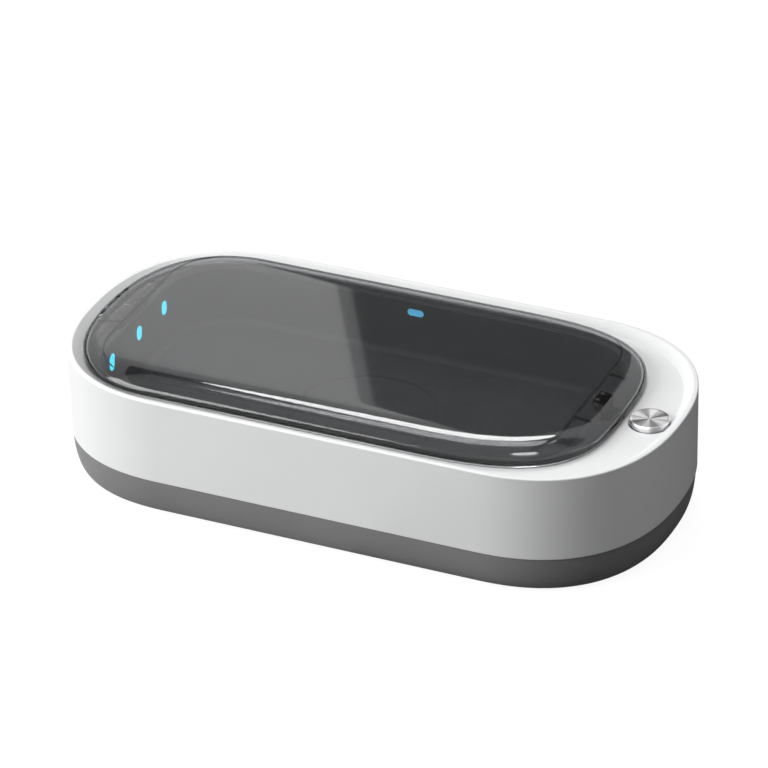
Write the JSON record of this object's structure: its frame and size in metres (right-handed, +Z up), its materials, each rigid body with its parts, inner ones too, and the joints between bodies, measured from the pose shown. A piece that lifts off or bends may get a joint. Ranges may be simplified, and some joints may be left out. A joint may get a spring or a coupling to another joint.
{
  "type": "uv sanitizer box for phones",
  "caption": "Oval desk box that cleans a phone with ultraviolet lamps: smoked hinged lid, round spun-metal release button, dark tray in a white body.",
  "frame": {"origin": "middle of the body's footprint, on the table that the feet stand on", "axes": "+X to the button end, +Y to the back with the power inlet, +Z up"},
  "size_m": [0.22, 0.112, 0.0496],
  "materials": {
    "white_plastic": "satin white moulded plastic",
    "grey_plastic": "fine matt dark grey moulded plastic",
    "smoked_plastic": "polished smoked see-through plastic",
    "tray_plastic": "dark grey moulded plastic",
    "black_plastic": "black moulded plastic",
    "natural_plastic": "natural white moulded plastic",
    "black_rubber": "soft black rubber",
    "mat_silicone": "soft dark grey silicone",
    "spun_metal": "spun finish with rings round the centre",
    "steel": "plain steel",
    "spring_steel": "drawn spring wire",
    "board_green": "green circuit board",
    "chip_black": "black packages and connectors",
    "lamp_cyan": "lit pale blue window",
    "ribbon": "amber flat lead",
    "copper": "enamelled copper winding",
    "ferrite": "pressed ferrite sheet"
  },
  "bodies": {
    "base": {"upper_shell": "white_plastic", "lower_case": "grey_plastic", "chamber_tray": "tray_plastic", "phone_mat": "mat_silicone", "hinge_bracket": "black_plastic", "hinge_pin": "steel", "hinge_spring": "spring_steel", "hinge_screws": "steel", "button_spring": "spring_steel", "latch_spring": "spring_steel", "latch_guide": "black_plastic", "guide_screws": "steel", "interlock_switch": "chip_black", "led_board_left": "board_green", "led_board_right": "board_green", "led_board_front": "board_green", "led_board_back": "board_green", "led_windows_left": "lamp_cyan", "led_windows_right": "lamp_cyan", "led_window_front": "lamp_cyan", "led_window_back": "lamp_cyan", "led_ribbons": "ribbon", "charging_coil": "copper", "coil_ferrite": "ferrite", "coil_carrier": "natural_plastic", "coil_screws": "steel", "control_board": "board_green", "board_components": "chip_black", "board_screws": "steel", "usb_socket": "steel", "rubber_feet": "black_rubber", "case_screws": "steel"},
    "lid": {"lid_cover": "smoked_plastic", "lid_seal": "black_rubber", "latch_hook": "black_plastic", "hook_screws": "steel"},
    "button": {"release_button": "spun_metal", "button_plunger": "natural_plastic"},
    "latch": {"latch_slider": "natural_plastic"}
  },
  "joints": [
    {"name": "lid_hinge", "type": "hinge", "parent": "base", "child": "lid", "pos_m": [-0.1014, 0, 0.0442], "axis": [0, -1, 0], "range_deg": [0, 95], "stiffness_Nm_per_rad": 0.02, "springref_deg": 95.11, "deforming": ["hinge_spring"]},
    {"name": "button_press", "type": "slide", "parent": "base", "child": "button", "axis": [0, 0, -1], "range_m": [0, 0.0015], "stiffness_N_per_m": 400, "springref_m": -0.001, "deforming": ["button_spring"]},
    {"name": "latch_slide", "type": "slide", "parent": "base", "child": "latch", "axis": [1, 0, 0], "range_m": [0, 0.0015], "stiffness_N_per_m": 300, "springref_m": -0.001, "deforming": ["latch_spring"]}
  ],
  "couplings": [
    {"joint": "latch_slide", "follows": "button_press", "ratio": 1}
  ]
}
